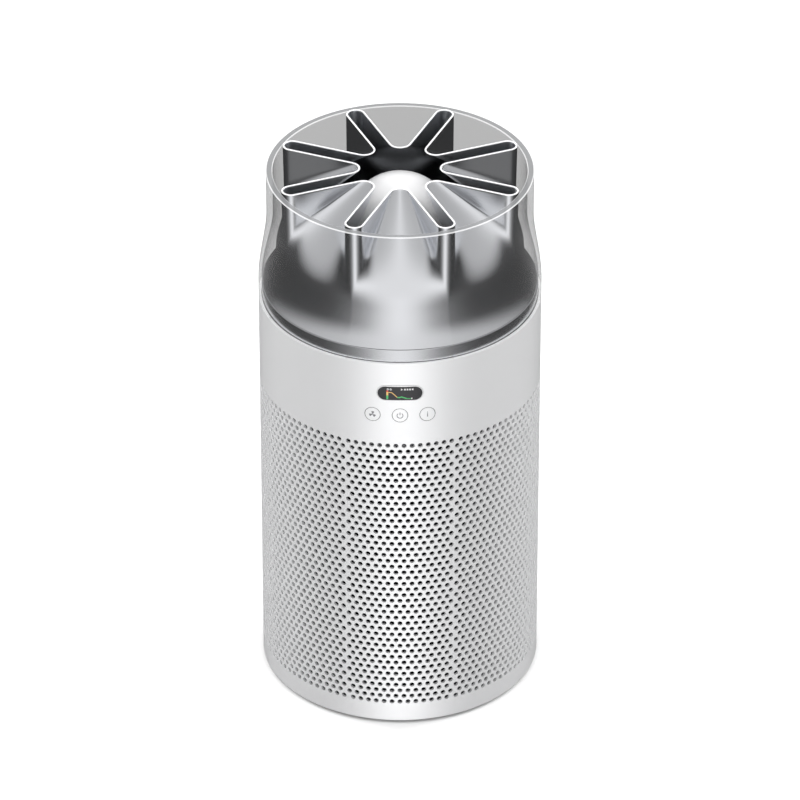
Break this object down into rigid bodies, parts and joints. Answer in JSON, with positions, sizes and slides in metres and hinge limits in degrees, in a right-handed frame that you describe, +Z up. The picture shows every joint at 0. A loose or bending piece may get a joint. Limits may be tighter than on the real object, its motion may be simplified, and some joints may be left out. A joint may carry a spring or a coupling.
{
  "type": "air purifier",
  "caption": "Compact cylindrical air purifier: perforated silver casing round a pleated filter, oval display, push buttons, clear outlet shell round a star-shaped nozzle.",
  "frame": {"origin": "centre of the foot ring's underside, on the surface the purifier stands on", "axes": "+Z up along the casing's axis, -Y towards the display and buttons, +X to their right"},
  "size_m": [0.228, 0.2282, 0.4614],
  "materials": {
    "casing_silver": "satin",
    "clear_acrylic": "polished",
    "nozzle_silver": "polished",
    "band_silver": "satin",
    "dome_silver": "satin",
    "bezel_bright": "polished",
    "display_black": "gloss",
    "foot_rubber": "matte",
    "seal_rubber": "matte",
    "dark_plastic": "matte",
    "fan_plastic": "satin",
    "filter_frame": "satin",
    "filter_paper": "matte",
    "carbon_granules": "matte",
    "steel": "satin",
    "motor_can": "satin",
    "copper": "satin",
    "magnet": "satin",
    "pin_brass": "polished",
    "board_green": "satin",
    "component_black": "satin"
  },
  "bodies": {
    "housing": {"board_components": "component_black", "board_screws": "steel", "button_switches": "component_black", "card_guides": "dark_plastic", "chassis_frame": "dark_plastic", "clear_shell": "clear_acrylic", "control_board": "board_green", "control_bracket": "dark_plastic", "deck_screws": "steel", "diffuser": "dark_plastic", "display_bezel": "bezel_bright", "display_lens": "display_black", "display_module": "display_black", "fan_deck": "dark_plastic", "fan_housing": "dark_plastic", "inlet_bellmouth": "dark_plastic", "inlet_pins": "pin_brass", "lower_bearing": "steel", "main_board": "board_green", "motor_cap": "dark_plastic", "motor_housing": "motor_can", "motor_screws": "steel", "nose_cone": "dome_silver", "outer_casing": "casing_silver", "particle_sensor": "dark_plastic", "power_inlet": "dark_plastic", "shoulder_ring": "band_silver", "shoulder_screws": "steel", "star_nozzle": "nozzle_silver", "stator_coils": "copper", "stator_core": "steel", "upper_bearing": "steel"},
    "rotor": {"impeller": "fan_plastic", "impeller_nut": "steel", "motor_shaft": "steel", "rotor_magnet": "magnet"},
    "fan_key": {"fan_button": "casing_silver"},
    "power_key": {"power_button": "casing_silver"},
    "info_key": {"info_button": "casing_silver"},
    "filter_unit": {"filter_media": "filter_paper", "carbon_layer": "carbon_granules", "filter_core": "dark_plastic", "filter_top_cap": "filter_frame", "filter_bottom_cap": "filter_frame", "filter_seal": "seal_rubber"},
    "base": {"base_cap": "dark_plastic", "foot_ring": "foot_rubber"}
  },
  "joints": [
    {"name": "impeller_spin", "type": "hinge", "parent": "housing", "child": "rotor", "pos_m": [0, 0, 0.31], "axis": [0, 0, 1], "continuous": true},
    {"name": "fan_press", "type": "slide", "parent": "housing", "child": "fan_key", "axis": [0.1922, 0.9814, 0], "range_m": [0, 0.0008], "stiffness_N_per_m": 1000, "springref_m": -0.0003},
    {"name": "power_press", "type": "slide", "parent": "housing", "child": "power_key", "axis": [0, 1, 0], "range_m": [0, 0.0008], "stiffness_N_per_m": 1000, "springref_m": -0.0003},
    {"name": "info_press", "type": "slide", "parent": "housing", "child": "info_key", "axis": [-0.1922, 0.9814, 0], "range_m": [0, 0.0008], "stiffness_N_per_m": 1000, "springref_m": -0.0003},
    {"name": "filter_removal", "type": "slide", "parent": "housing", "child": "filter_unit", "axis": [0, 0, -1], "range_m": [0, 0.28]},
    {"name": "base_twist", "type": "hinge", "parent": "filter_unit", "child": "base", "pos_m": [0, 0, 0], "axis": [0, 0, 1], "range_deg": [0, 20]}
  ]
}
